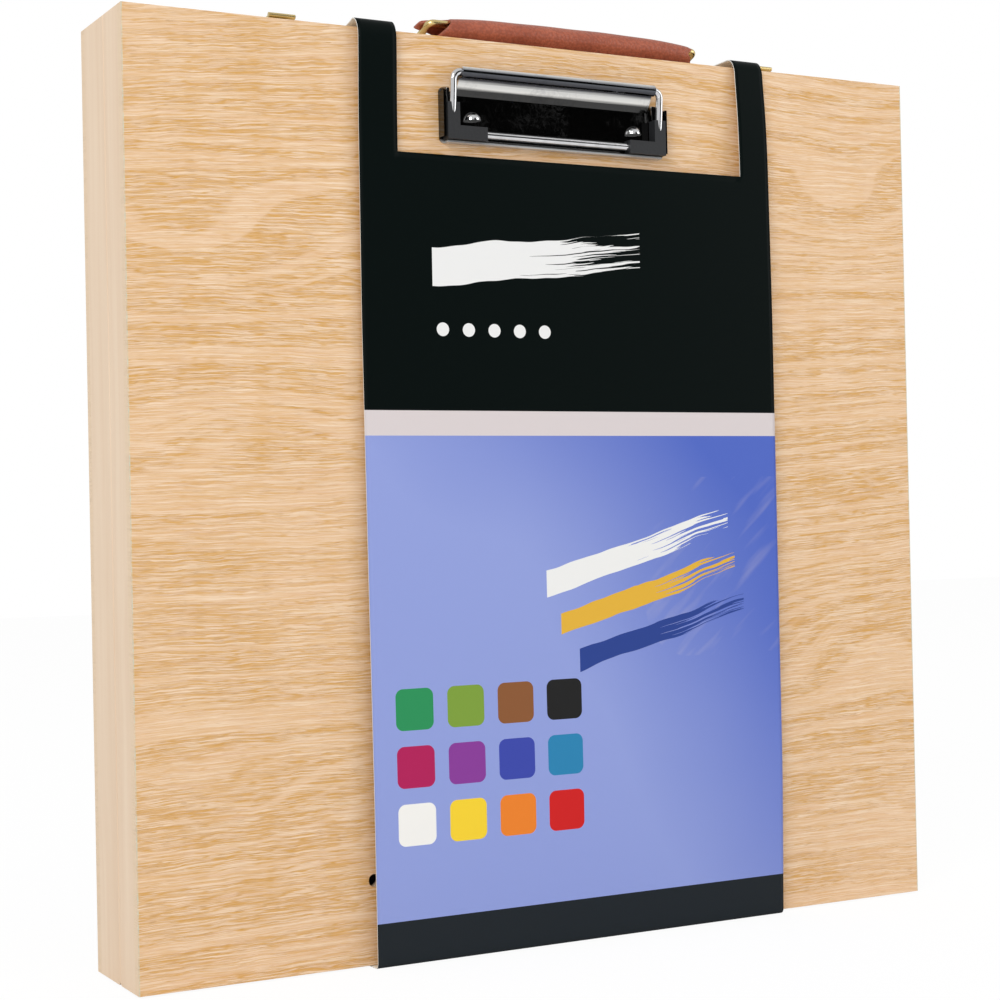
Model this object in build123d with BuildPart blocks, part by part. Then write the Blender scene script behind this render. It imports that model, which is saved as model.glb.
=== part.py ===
from build123d import *
import math
import os

os.makedirs("parts", exist_ok=True)

# Frame: X right, Y back, Z up, millimetres. The case stands on its hinge edge.
# x = 0 is the middle of the case, y = 0 the middle of its depth, z = 0 the underside of the sleeve.
case_w = 350.0
case_h = 350.0
lid_d = 21.0
base_d = 27.0
wall_t = 12.0
panel_t = 4.0
stand = 0.6
front_y = -(lid_d + base_d) / 2
seam_y = front_y + lid_d
back_y = front_y + lid_d + base_d
seam_gap = 0.1
half_w = case_w / 2
in_w = half_w - wall_t
top_z = stand + case_h
mid_z = stand + case_h / 2

# hinges
hinge_x = 125.0
hinge_len = 32.0
hinge_axis_z = stand + 1.1
barrel_od = 3.2
hinge_pin_d = 1.6
pin_clear = 0.05
leaf_t = 0.9
leaf_h = 11.0
edge_cut = 1.2
seam_ease = 0.35

# insert tray
tray_gap = 1.0
tray_foot_gap = 1.4
tray_head_gap = 1.6
tray_top_y = 3.2
tray_back_y = back_y - panel_t
rack_t = 8.0
rack_z0 = 70.0
rack_head_gap = 28.6
rack_z1 = top_z - wall_t - rack_head_gap
tray_w = 2 * (in_w - rack_t - tray_gap)
tray_z0 = stand + wall_t + tray_foot_gap
tray_z1 = top_z - wall_t - tray_head_gap
notch_n = 12

# prop
prop_z = hinge_axis_z + 150.0
prop_y = -12.0
foot_d = 8.0
foot_head_gap = 27.9
prop_len = top_z - wall_t - foot_head_gap - foot_d / 2 - prop_z
arm_inset = 13.0
arm_x = in_w - arm_inset
arm_t = 8.6
prop_screw_d = 4.0
screw_bite = 8.4

# latches
latch_x = 109.3
latch_w = 10.6
latch_pin_y = 0.5
latch_pin_z = top_z + 2.6
knuckle_od = 3.4
latch_pin_d = 1.4
hasp_tilt = 5.0

# handle
grip_cx = 17.5
grip_len = 116.0
bail_x = 56.5
wire_d = 3.0
eye_od = 5.4
bail_y = 11.0
bail_z = top_z + 3.3
grip_y = -6.0
grip_r = 4.9
grip_flat = 8.0
grip_t = 1.5
grip_z = top_z + 2.8 + grip_r

# clip
clip_w = 50.5
clip_drop = 19.6
clip_h = 21.5
clip_z1 = top_z - clip_drop
clip_z0 = clip_z1 - clip_h
roll_half = 43.5
roll_y = -29.6
roll_z = clip_z1 + 5.2
roll_od = 4.6
clip_t = 0.8
rivet_x = 36.5
rivet_z = clip_z0 + 11.0
jaw_x = 46.6
jaw_foot_z = clip_z0 + 3.7
jaw_foot_y = -27.4

# sleeve
card_t = 0.4
band_x0 = -85.3
band_x1 = 99.5
window_x0 = -69.5
window_x1 = 85.5
window_z = clip_z0 - 5.0
stand_off = 28.9
strip_z = top_z + 2.4
card_gap = 0.2
hinge_gap = 1.5

# ledge bolts
bolt_x = 83.6
bolt_hole_z = stand + 31.4
bolt_d = 4.0
bolt_hole_d = 4.8


def save(piece, name):
    piece.part.label = name
    export_step(piece.part, "parts/" + name + ".step")


# lid
with BuildPart() as lid_panel:
    with BuildSketch(Plane.XZ.offset(-front_y - panel_t)):
        with Locations((0, mid_z)):
            Rectangle(case_w, case_h)
        with Locations((-bolt_x, bolt_hole_z), (bolt_x, bolt_hole_z)):
            Circle(bolt_hole_d / 2, mode=Mode.SUBTRACT)
    extrude(amount=panel_t)
save(lid_panel, "lid_panel")


def side_board(x0, y0, y1):
    with BuildPart() as board:
        with Locations((x0, y0, stand)):
            Box(wall_t, y1 - y0, case_h, align=(Align.MIN, Align.MIN, Align.MIN))
    return board


def edge_wedge(y_sign):
    with BuildPart() as wedge:
        with BuildSketch(Plane.YZ.offset(-half_w)):
            with BuildLine():
                Polyline(
                    (seam_y - edge_cut * y_sign, stand - 1),
                    (seam_y - edge_cut * y_sign, stand),
                    (seam_y, stand + edge_cut),
                    (seam_y + y_sign, stand + edge_cut),
                    (seam_y + y_sign, stand - 1),
                    close=True,
                )
            make_face()
        extrude(amount=case_w)
    return wedge.part


def ease_seam(board, x0):
    # the long outer edges at the seam are eased, which shows as a fine dark line round the case
    outer_x = x0 if x0 < 0 else x0 + wall_t
    long_edges = board.edges().filter_by(Axis.Z).filter_by(lambda e: e.length > case_h / 2)
    seam_edge = [e for e in long_edges if abs(e.center().X - outer_x) < 0.1 and abs(e.center().Y - seam_y) < 0.2]
    chamfer(seam_edge, seam_ease)


lid_y0 = front_y + panel_t
lid_y1 = seam_y - seam_gap / 2
base_y0 = seam_y + seam_gap / 2
base_y1 = back_y - panel_t

for name, x0 in (("lid_left_side", -half_w), ("lid_right_side", in_w)):
    with BuildPart() as lid_side:
        add(side_board(x0, lid_y0, lid_y1).part)
        add(edge_wedge(1), mode=Mode.SUBTRACT)
        inner_x = x0 + (wall_t if x0 < 0 else 0)
        with Locations((inner_x, prop_y, prop_z)):
            Cylinder(prop_screw_d / 2 + pin_clear, 2 * screw_bite, rotation=(0, 90, 0), mode=Mode.SUBTRACT)
        ease_seam(lid_side, x0)
    save(lid_side, name)

with BuildPart() as lid_top_rail:
    with Locations((0, lid_y0, top_z)):
        Box(2 * in_w, lid_y1 - lid_y0, wall_t, align=(Align.CENTER, Align.MIN, Align.MAX))
save(lid_top_rail, "lid_top_rail")


def bottom_rail(y0, y1, y_sign):
    with BuildPart() as rail:
        with Locations((0, y0, stand)):
            Box(2 * in_w, y1 - y0, wall_t, align=(Align.CENTER, Align.MIN, Align.MIN))
        add(edge_wedge(y_sign), mode=Mode.SUBTRACT)
        with Locations((-hinge_x, seam_y, hinge_axis_z), (hinge_x, seam_y, hinge_axis_z)):
            Cylinder(barrel_od / 2 + 0.3, hinge_len + 0.8, rotation=(0, 90, 0), mode=Mode.SUBTRACT)
        with Locations((-hinge_x, seam_y, hinge_axis_z), (hinge_x, seam_y, hinge_axis_z)):
            Box(hinge_len + 0.8, 2 * leaf_t, leaf_h, align=(Align.CENTER, Align.CENTER, Align.MIN),
                mode=Mode.SUBTRACT)
    return rail


save(bottom_rail(lid_y0, lid_y1, 1), "lid_bottom_rail")
save(bottom_rail(base_y0, base_y1, -1), "base_bottom_rail")

# base
with BuildPart() as base_back_panel:
    with BuildSketch(Plane.XZ.offset(-back_y)):
        with Locations((0, mid_z)):
            Rectangle(case_w, case_h)
    extrude(amount=panel_t)
save(base_back_panel, "base_back_panel")

for name, x0 in (("base_left_side", -half_w), ("base_right_side", in_w)):
    with BuildPart() as base_side:
        add(side_board(x0, base_y0, base_y1).part)
        add(edge_wedge(-1), mode=Mode.SUBTRACT)
        ease_seam(base_side, x0)
    save(base_side, name)

with BuildPart() as base_top_rail:
    with Locations((0, base_y0, top_z)):
        Box(2 * in_w, base_y1 - base_y0, wall_t, align=(Align.CENTER, Align.MIN, Align.MAX))
save(base_top_rail, "base_top_rail")


def rack(x0, name):
    pitch = (rack_z1 - rack_z0) / notch_n
    with BuildPart() as notched:
        with Locations((x0, tray_top_y, rack_z0)):
            Box(rack_t, base_y1 - tray_top_y, rack_z1 - rack_z0, align=(Align.MIN, Align.MIN, Align.MIN))
        with Locations([(x0, tray_top_y, rack_z0 + pitch * (i + 0.5)) for i in range(notch_n)]):
            Cylinder(foot_d / 2 + 0.4, rack_t, rotation=(0, 90, 0), align=(Align.CENTER, Align.CENTER, Align.MIN),
                     mode=Mode.SUBTRACT)
    save(notched, name)


rack(-in_w, "left_rack")
rack(in_w - rack_t, "right_rack")

# hinges
knuckle = (hinge_len - 1.2) / 3


def hinge_leaf(cx, lid_side):
    side = -1 if lid_side else 1
    spots = (-1, 1) if lid_side else (0,)
    with BuildPart() as leaf:
        with Locations((cx, seam_y + side * (seam_gap / 2), hinge_axis_z + barrel_od / 2)):
            Box(hinge_len, leaf_t - seam_gap, leaf_h - barrel_od / 2 - 0.4,
                align=(Align.CENTER, Align.MAX if lid_side else Align.MIN, Align.MIN))
        with Locations([(cx + k * (knuckle + 0.6), seam_y, hinge_axis_z) for k in spots]):
            Cylinder(barrel_od / 2, knuckle, rotation=(0, 90, 0))
        with Locations([(cx + k * (knuckle + 0.6), seam_y + side * 0.05, hinge_axis_z) for k in spots]):
            Box(knuckle, leaf_t - seam_gap, barrel_od / 2 + 0.1,
                align=(Align.CENTER, Align.MAX if lid_side else Align.MIN, Align.MIN))
        with Locations((cx, seam_y, hinge_axis_z)):
            Cylinder(hinge_pin_d / 2 + (pin_clear if lid_side else 0), hinge_len + 2, rotation=(0, 90, 0),
                     mode=Mode.SUBTRACT)
        with Locations([(cx + s * 10, seam_y, hinge_axis_z + 6.2) for s in (-1, 1)]):
            Cylinder(1.4, 4, rotation=(90, 0, 0), mode=Mode.SUBTRACT)
    return leaf


for name, lid_side in (("hinge_lid_leaves", True), ("hinge_base_leaves", False)):
    left_leaf = hinge_leaf(-hinge_x, lid_side)
    right_leaf = hinge_leaf(hinge_x, lid_side)
    with BuildPart() as leaves:
        add(left_leaf.part)
        add(right_leaf.part)
    save(leaves, name)

with BuildPart() as hinge_pins:
    with Locations((-hinge_x, seam_y, hinge_axis_z), (hinge_x, seam_y, hinge_axis_z)):
        Cylinder(hinge_pin_d / 2, hinge_len, rotation=(0, 90, 0))
save(hinge_pins, "hinge_pins")

for name, side in (("hinge_lid_screws", -1), ("hinge_base_screws", 1)):
    with BuildPart() as screws:
        with Locations([(sx * hinge_x + s * 10, seam_y + side * 0.2, hinge_axis_z + 6.2)
                        for sx in (-1, 1) for s in (-1, 1)]):
            Cylinder(1.35, leaf_t, rotation=(side * -90, 0, 0), align=(Align.CENTER, Align.CENTER, Align.MIN))
        with Locations([(sx * hinge_x + s * 10, seam_y + side * (leaf_t + 0.2), hinge_axis_z + 6.2)
                        for sx in (-1, 1) for s in (-1, 1)]):
            Cylinder(0.8, 8, rotation=(side * -90, 0, 0), align=(Align.CENTER, Align.CENTER, Align.MIN))
    save(screws, name)


# prop
with BuildPart() as prop_pivot_screws:
    for side in (-1, 1):
        with Locations((side * (arm_x - arm_t / 2 - 0.3), prop_y, prop_z)):
            Cylinder(prop_screw_d / 2, in_w + screw_bite - 0.4 - arm_x + arm_t / 2, rotation=(0, side * 90, 0),
                     align=(Align.CENTER, Align.CENTER, Align.MIN))
            Cylinder(3.6, 1.4, rotation=(0, side * 90, 0), align=(Align.CENTER, Align.CENTER, Align.MAX))
save(prop_pivot_screws, "prop_pivot_screws")

for name, side in (("prop_left_arm", -1), ("prop_right_arm", 1)):
    with BuildPart() as arm:
        with BuildSketch(Plane.YZ.offset(side * arm_x - arm_t / 2)):
            with Locations((prop_y, prop_z + prop_len / 2)):
                SlotCenterToCenter(prop_len, arm_t, rotation=90)
            with Locations((prop_y, prop_z)):
                Circle(prop_screw_d / 2 + pin_clear, mode=Mode.SUBTRACT)
            with Locations((prop_y, prop_z + prop_len)):
                Circle(foot_d / 2 - 1.5, mode=Mode.SUBTRACT)
        extrude(amount=arm_t)
    save(arm, name)

with BuildPart() as prop_foot_bar:
    with Locations((0, prop_y, prop_z + prop_len)):
        Cylinder(foot_d / 2, 2 * (arm_x - arm_t / 2), rotation=(0, 90, 0))
        Cylinder(foot_d / 2 - 1.5, 2 * (in_w - 2.0), rotation=(0, 90, 0))
save(prop_foot_bar, "prop_foot_bar")

# latches
latch_spots = [(-latch_x, 0), (latch_x, 0)]

with BuildPart() as latch_base_plates:
    with Locations([(x, latch_pin_y + 9.0, top_z) for x, y in latch_spots]):
        Box(latch_w, 18.0, 0.6, align=(Align.CENTER, Align.CENTER, Align.MIN))
    with Locations([(x + s * 3.9, latch_pin_y, top_z) for x, y in latch_spots for s in (-1, 1)]):
        Box(2.6, knuckle_od, latch_pin_z - top_z, align=(Align.CENTER, Align.CENTER, Align.MIN))
    with Locations([(x + s * 3.9, latch_pin_y, latch_pin_z) for x, y in latch_spots for s in (-1, 1)]):
        Cylinder(knuckle_od / 2, 2.6, rotation=(0, 90, 0))
    with Locations([(x, latch_pin_y, latch_pin_z) for x, y in latch_spots]):
        Cylinder(latch_pin_d / 2, latch_w + 2, rotation=(0, 90, 0), mode=Mode.SUBTRACT)
    with Locations([(x, latch_pin_y + yy, top_z) for x, y in latch_spots for yy in (7.0, 14.0)]):
        Cylinder(1.3, 4, mode=Mode.SUBTRACT)
save(latch_base_plates, "latch_base_plates")

with BuildPart() as latch_pins:
    with Locations([(x, latch_pin_y, latch_pin_z) for x, y in latch_spots]):
        Cylinder(latch_pin_d / 2, latch_w + 0.4, rotation=(0, 90, 0))
save(latch_pins, "latch_pins")

with BuildPart() as latch_base_screws:
    with Locations([(x, latch_pin_y + yy, top_z - 7) for x, y in latch_spots for yy in (7.0, 14.0)]):
        Cylinder(1.25, 7.7, align=(Align.CENTER, Align.CENTER, Align.MIN))
save(latch_base_screws, "latch_base_screws")

catch_y = -9.0
with BuildPart() as latch_catches:
    with Locations([(x, catch_y - 1.5, top_z) for x, y in latch_spots]):
        Box(latch_w - 2, 9.0, 0.6, align=(Align.CENTER, Align.CENTER, Align.MIN))
    with Locations([(x, catch_y, top_z) for x, y in latch_spots]):
        Box(4.4, 0.9, 2.4, align=(Align.CENTER, Align.CENTER, Align.MIN))
    with Locations([(x, catch_y - 3.6, top_z) for x, y in latch_spots]):
        Cylinder(1.0, 4, mode=Mode.SUBTRACT)
save(latch_catches, "latch_catches")

with BuildPart() as latch_catch_screws:
    with Locations([(x, catch_y - 3.6, top_z - 7) for x, y in latch_spots]):
        Cylinder(0.95, 7.75, align=(Align.CENTER, Align.CENTER, Align.MIN))
save(latch_catch_screws, "latch_catch_screws")


def hasp(cx):
    with BuildPart() as plate:
        with Locations((0, 0, 0)):
            Cylinder(knuckle_od / 2, 4.8, rotation=(0, 90, 0))
        with Locations((0, -knuckle_od / 2 + 0.4, -0.4)):
            Box(4.8, 2.6, 0.8, align=(Align.CENTER, Align.MAX, Align.MIN))
        with Locations((0, -3.4, -0.4)):
            Box(latch_w, 9.6, 0.8, align=(Align.CENTER, Align.MAX, Align.MIN))
        with Locations((0, -13.0, 0.5)):
            Cylinder(0.9, latch_w, rotation=(0, 90, 0))
        with Locations((0, -9.6, 0)):
            Box(5.6, 3.0, 4, mode=Mode.SUBTRACT)
        with Locations((0, 0, 0)):
            Cylinder(latch_pin_d / 2 + pin_clear, 8, rotation=(0, 90, 0), mode=Mode.SUBTRACT)
    return plate.part.moved(Location((cx, latch_pin_y, latch_pin_z), (-hasp_tilt, 0, 0)))


for name, cx in (("left_latch_hasp", -latch_x), ("right_latch_hasp", latch_x)):
    with BuildPart() as hasp_piece:
        add(hasp(cx))
    save(hasp_piece, name)

# handle
with BuildPart() as handle_brackets:
    for side in (-1, 1):
        with Locations((grip_cx + side * bail_x, bail_y, top_z)):
            Box(7.0, 16.0, 0.7, align=(Align.CENTER, Align.CENTER, Align.MIN))
            Box(7.0, eye_od - 0.6, bail_z - top_z, align=(Align.CENTER, Align.CENTER, Align.MIN))
        with Locations((grip_cx + side * bail_x, bail_y, bail_z)):
            Cylinder(eye_od / 2, 7.0, rotation=(0, 90, 0))
            Cylinder(wire_d / 2 + pin_clear, 9.0, rotation=(0, 90, 0), mode=Mode.SUBTRACT)
        with Locations([(grip_cx + side * bail_x, bail_y + s * 5.6, top_z) for s in (-1, 1)]):
            Cylinder(1.15, 4, mode=Mode.SUBTRACT)
save(handle_brackets, "handle_brackets")

with BuildPart() as handle_bracket_screws:
    with Locations([(grip_cx + b * bail_x, bail_y + s * 5.6, top_z - 8) for b in (-1, 1) for s in (-1, 1)]):
        Cylinder(1.1, 9.0, align=(Align.CENTER, Align.CENTER, Align.MIN))
save(handle_bracket_screws, "handle_bracket_screws")

wire_z = grip_z + grip_r - grip_t - wire_d / 2
bail_out = bail_x + 5.6
with BuildPart() as handle_bail:
    with BuildLine() as bail_path:
        FilletPolyline(
            (grip_cx - bail_x + 4.5, bail_y, bail_z),
            (grip_cx - bail_out, bail_y, bail_z),
            (grip_cx - bail_out, grip_y, wire_z),
            (grip_cx + bail_out, grip_y, wire_z),
            (grip_cx + bail_out, bail_y, bail_z),
            (grip_cx + bail_x - 4.5, bail_y, bail_z),
            radius=2.2,
        )
    with BuildSketch(Plane(origin=bail_path.line @ 0, z_dir=bail_path.line % 0)):
        Circle(wire_d / 2)
    sweep()
save(handle_bail, "handle_bail")

with BuildPart() as handle_grip:
    with BuildSketch(Plane.YZ.offset(grip_cx - grip_len / 2)):
        with Locations((grip_y, grip_z)):
            SlotCenterToCenter(grip_flat, 2 * grip_r)
            SlotCenterToCenter(grip_flat, 2 * (grip_r - grip_t), mode=Mode.SUBTRACT)
    extrude(amount=grip_len)
save(handle_grip, "handle_grip")

# clip
with BuildPart() as clip_base_plate:
    with BuildSketch(Plane.XZ.offset(-front_y)):
        with Locations((0, (clip_z0 + clip_z1) / 2)):
            RectangleRounded(2 * clip_w, clip_z1 - clip_z0, 2.0)
        with Locations((-rivet_x, rivet_z), (rivet_x, rivet_z)):
            Circle(1.6, mode=Mode.SUBTRACT)
    extrude(amount=clip_t)
    for side in (-1, 1):
        with Locations((side * clip_w, front_y, (clip_z0 + clip_z1) / 2)):
            Box(clip_t, 4.6, clip_z1 - clip_z0 - 4,
                align=(Align.MAX if side > 0 else Align.MIN, Align.MAX, Align.CENTER))
    with Locations((0, front_y, clip_z0)):
        Box(2 * clip_w - 4, 3.4, clip_t, align=(Align.CENTER, Align.MAX, Align.MIN))
    with BuildSketch(Plane.YZ.offset(-roll_half)):
        with BuildLine():
            Polyline(
                (front_y, clip_z1 - 3),
                (front_y - clip_t, clip_z1 - 3),
                (roll_y + 1.2, roll_z - roll_od / 2 + 0.2),
                (roll_y + 2.0, roll_z - 0.6),
                (front_y, clip_z1 - 0.6),
                close=True,
            )
        make_face()
        with Locations((roll_y, roll_z)):
            Circle(roll_od / 2)
            Circle(wire_d / 2 + pin_clear, mode=Mode.SUBTRACT)
    extrude(amount=2 * roll_half)
save(clip_base_plate, "clip_base_plate")

with BuildPart() as clip_rivets:
    with Locations((-rivet_x, front_y - clip_t, rivet_z), (rivet_x, front_y - clip_t, rivet_z)):
        Sphere(3.4, arc_size1=0)
    with Locations((0, front_y - clip_t, 0)):
        Box(200, 20, 800, align=(Align.CENTER, Align.MIN, Align.CENTER), mode=Mode.SUBTRACT)
    with Locations((-rivet_x, front_y - clip_t, rivet_z), (rivet_x, front_y - clip_t, rivet_z)):
        Cylinder(1.55, clip_t + panel_t, rotation=(-90, 0, 0), align=(Align.CENTER, Align.CENTER, Align.MIN))
    with Locations((-rivet_x, lid_y0, rivet_z), (rivet_x, lid_y0, rivet_z)):
        Cylinder(3.2, 0.8, rotation=(-90, 0, 0), align=(Align.CENTER, Align.CENTER, Align.MIN))
save(clip_rivets, "clip_rivets")

with BuildPart() as clip_jaw:
    with BuildLine() as jaw_path:
        FilletPolyline(
            (jaw_x, roll_y, roll_z),
            (jaw_x, jaw_foot_y, jaw_foot_z),
            (-jaw_x, jaw_foot_y, jaw_foot_z),
            (-jaw_x, roll_y, roll_z),
            radius=3.0,
            close=True,
        )
    with BuildSketch(Plane(origin=jaw_path.line @ 0, z_dir=jaw_path.line % 0)):
        Circle(wire_d / 2)
    sweep()
save(clip_jaw, "clip_jaw")

with BuildPart() as clip_corner_pads:
    for side in (-1, 1):
        with Locations((side * (jaw_x + 2.6), jaw_foot_y, jaw_foot_z - 2.6)):
            Box(5.2, 4.4, 14.0, align=(Align.MAX if side > 0 else Align.MIN, Align.CENTER, Align.MIN))
            Box(17.0, 4.4, 5.2, align=(Align.MAX if side > 0 else Align.MIN, Align.CENTER, Align.MIN))
save(clip_corner_pads, "clip_corner_pads")

# sleeve
def sheet(points, x0, x1, bend):
    with BuildPart() as folded:
        with BuildSketch(Plane.YZ.offset(x0)):
            with BuildLine() as path:
                FilletPolyline(*points, radius=bend)
            trace(path.line, line_width=card_t)
        extrude(amount=x1 - x0)
    return folded.part


front_points = (
    (seam_y - hinge_gap, card_t / 2),
    (-27.4, card_t / 2),
    (-stand_off, 40.0),
    (-stand_off - 0.2, mid_z),
    (-stand_off, top_z - 35.6),
    (-27.4, top_z - 12.6),
    (front_y - 0.6, strip_z - card_t / 2),
    (back_y + 0.2, strip_z - card_t / 2),
)
with BuildPart() as sleeve_front:
    add(sheet(front_points, band_x0, band_x1, 1.5))
    with Locations(((window_x0 + window_x1) / 2, 0, window_z)):
        Box(window_x1 - window_x0, 100, 80, align=(Align.CENTER, Align.CENTER, Align.MIN), mode=Mode.SUBTRACT)
save(sleeve_front, "sleeve_front")

back_points = (
    (seam_y + hinge_gap, card_t / 2),
    (back_y + 0.4, card_t / 2),
    (back_y + 0.4, strip_z - 3.0),
)
with BuildPart() as sleeve_back:
    add(sheet(back_points, band_x0, band_x1, 0.45))
save(sleeve_back, "sleeve_back")

# insert and kit
shaft_sides = 12
tube_pitch = 21.0
tube_r = 7.4
tube_body = 48.0
tube_neck = 4.0
tube_fold = 5.0
cap_r = 4.4
cap_len = 9.0
tube_cols = 6
tube_x0 = 22.0
tube_row_gap = 78.0
deep_well = 16.0
tube_y = tray_top_y + deep_well - tube_r
tube_rows = (tray_z1 - 87.0, tray_z1 - 87.0 - tube_row_gap)
tube_spots = [(tube_x0 + i * tube_pitch, z) for z in tube_rows for i in range(tube_cols)]

palette_w = 112.0
palette_h = 59.0
palette_x = 78.0
palette_z = 78.0
palette_d = 8.0
palette_t = 5.0

long_z0 = 62.0
long_len = 200.0
well_side = 7.3
brush_x = (-86.0, -68.0, -50.0, -32.0)
knife_x = (-140.0, -122.0)
pencil_x = -104.0

ledge_len = 260.0
ledge_h = 14.0
ledge_d = 12.0
ledge_z = 30.0

sharp_x = -128.0
eraser_x = -86.0
bolt_bed_x = -44.0
small_z = tray_z1 - 45.0
small_h = 36.0
item_well = 12.5
item_floor = tray_top_y + item_well
well_play = 1.0


def well(x0, x1, z0, z1, depth):
    with BuildPart() as hollow:
        with Locations((x0, tray_top_y, z0)):
            Box(x1 - x0, depth, z1 - z0, align=(Align.MIN, Align.MIN, Align.MIN))
    return hollow.part


tube_reach = tube_body / 2 + tube_neck + cap_len + well_play
with BuildPart() as insert_tray:
    with Locations((0, tray_top_y, tray_z0)):
        Box(tray_w, tray_back_y - tray_top_y, tray_z1 - tray_z0, align=(Align.CENTER, Align.MIN, Align.MIN))
    add(well(tube_x0 - tube_r - well_play, tube_x0 + (tube_cols - 1) * tube_pitch + tube_r + well_play,
             tube_rows[1] - tube_reach, tube_rows[0] + tube_reach, deep_well), mode=Mode.SUBTRACT)
    add(well(palette_x - palette_w / 2 - well_play, palette_x + palette_w / 2 + well_play,
             palette_z - palette_h / 2 - well_play, palette_z + palette_h / 2 + well_play, palette_d),
        mode=Mode.SUBTRACT)
    add(well(knife_x[0] - well_side, brush_x[-1] + well_side, long_z0 - well_play,
             long_z0 + long_len + well_play, item_well), mode=Mode.SUBTRACT)
    add(well(sharp_x - 2 * well_side, bolt_bed_x + 2 * well_side + 5.0, small_z - small_h / 2,
             small_z + small_h / 2, item_well), mode=Mode.SUBTRACT)
    add(well(-ledge_len / 2 - well_play, ledge_len / 2 + well_play, ledge_z - ledge_h / 2 - well_play,
             ledge_z + ledge_h / 2 + well_play, ledge_d + 0.6), mode=Mode.SUBTRACT)
save(insert_tray, "insert_tray")


def turned(x, y, stations):
    with BuildPart() as shaft:
        for z, r in stations:
            with BuildSketch(Plane.XY.offset(z)):
                with Locations((x, y)):
                    RegularPolygon(r, shaft_sides)
        loft(ruled=True)
    return shaft.part


with BuildPart() as paint_tubes:
    for x, z in tube_spots:
        low = z - tube_body / 2
        add(turned(x, tube_y, ((low - tube_neck, cap_r), (low, tube_r), (low + tube_body, tube_r))))
    with Locations([(x, tube_y, z + tube_body / 2) for x, z in tube_spots]):
        Box(2 * tube_r, 1.8, tube_fold, align=(Align.CENTER, Align.CENTER, Align.MIN))
save(paint_tubes, "paint_tubes")

with BuildPart() as tube_caps:
    for x, z in tube_spots:
        low = z - tube_body / 2 - tube_neck
        add(turned(x, tube_y, ((low - cap_len, cap_r - 0.6), (low, cap_r))))
save(tube_caps, "tube_caps")

with BuildPart() as mixing_palette:
    with BuildSketch(Plane.XZ.offset(-tray_top_y - palette_d)):
        with Locations((palette_x, palette_z)):
            RectangleRounded(palette_w, palette_h, 12.0)
    extrude(amount=palette_t)
    with Locations([(palette_x + i * 34.0, tray_top_y + palette_d - palette_t, palette_z + k * 14.0)
                    for i in (-1, 0, 1) for k in (-1, 1)]):
        Cylinder(11.0, 3.4, rotation=(-90, 0, 0), align=(Align.CENTER, Align.CENTER, Align.MIN),
                 mode=Mode.SUBTRACT)
save(mixing_palette, "mixing_palette")

bed_y = item_floor
handle_r = 3.2

brush_y = bed_y - handle_r
handle_turn = ((long_z0, 1.6), (long_z0 + 60, handle_r), (long_z0 + 140, 2.4))
ferrule_turn = ((long_z0 + 140, 2.5), (long_z0 + 168, 3.0))

with BuildPart() as brush_handles:
    for x in brush_x:
        add(turned(x, brush_y, handle_turn))
save(brush_handles, "brush_handles")

with BuildPart() as brush_ferrules:
    for x in brush_x:
        add(turned(x, brush_y, ferrule_turn))
save(brush_ferrules, "brush_ferrules")

with BuildPart() as brush_tufts:
    with Locations([(x, bed_y - handle_r, long_z0 + 168) for x in brush_x[:2]]):
        Box(8.4, 3.2, 18, align=(Align.CENTER, Align.CENTER, Align.MIN))
    for x in brush_x[2:]:
        add(turned(x, brush_y, ((long_z0 + 168, 2.6), (long_z0 + 188, 0.5))))
save(brush_tufts, "brush_tufts")

with BuildPart() as pencil:
    with BuildSketch(Plane.XY.offset(long_z0)):
        with Locations((pencil_x, bed_y - 3.6)):
            RegularPolygon(3.6, 6, major_radius=False)
    extrude(amount=150)
    with Locations((pencil_x, bed_y - 3.6, long_z0 + 150)):
        Cone(3.6, 0.5, 20, align=(Align.CENTER, Align.CENTER, Align.MIN))
save(pencil, "pencil")

with BuildPart() as palette_knives:
    for x in knife_x:
        with BuildSketch(Plane.XZ.offset(-bed_y)):
            with Locations((x, long_z0 + 55)):
                RectangleRounded(11.0, 108.0, 5.0)
            with Locations((x, long_z0 + 125)):
                Rectangle(4.0, 40.0)
            with Locations((x, long_z0 + 165)):
                Ellipse(6.0, 26.0)
            with Locations((x, long_z0 + 9)):
                Circle(2.4, mode=Mode.SUBTRACT)
        extrude(amount=2.4)
save(palette_knives, "palette_knives")

with BuildPart() as sharpener:
    with Locations((sharp_x, item_floor, small_z)):
        Box(15.0, 10.5, 25.0, align=(Align.CENTER, Align.MAX, Align.CENTER))
        with Locations((0, -10.5, 3.0)):
            Box(9.0, 5.0, 14.0, align=(Align.CENTER, Align.CENTER, Align.CENTER), mode=Mode.SUBTRACT)
save(sharpener, "sharpener")

with BuildPart() as eraser:
    with Locations((eraser_x, item_floor, small_z)):
        Box(20.0, 11.0, 28.0, align=(Align.CENTER, Align.MAX, Align.CENTER))
    chamfer(eraser.edges(), 0.8)
save(eraser, "eraser")

with BuildPart() as pencil_ledge:
    with Locations((0, tray_top_y + ledge_d + 0.6, ledge_z)):
        Box(ledge_len, ledge_d, ledge_h, align=(Align.CENTER, Align.MAX, Align.CENTER))
    with Locations([(s * bolt_x, tray_top_y + ledge_d, ledge_z) for s in (-1, 1)]):
        Cylinder(bolt_hole_d / 2, 60, rotation=(90, 0, 0), mode=Mode.SUBTRACT)
save(pencil_ledge, "pencil_ledge")

with BuildPart() as ledge_bolts:
    with Locations([(bolt_bed_x + s * 13.5, item_floor - 4.0, small_z - 13) for s in (-1, 1)]):
        Cylinder(bolt_d / 2, 24, align=(Align.CENTER, Align.CENTER, Align.MIN))
        with Locations((0, 0, 24)):
            Cone(bolt_d / 2, 4.0, 2.4, align=(Align.CENTER, Align.CENTER, Align.MIN))
save(ledge_bolts, "ledge_bolts")

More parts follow.
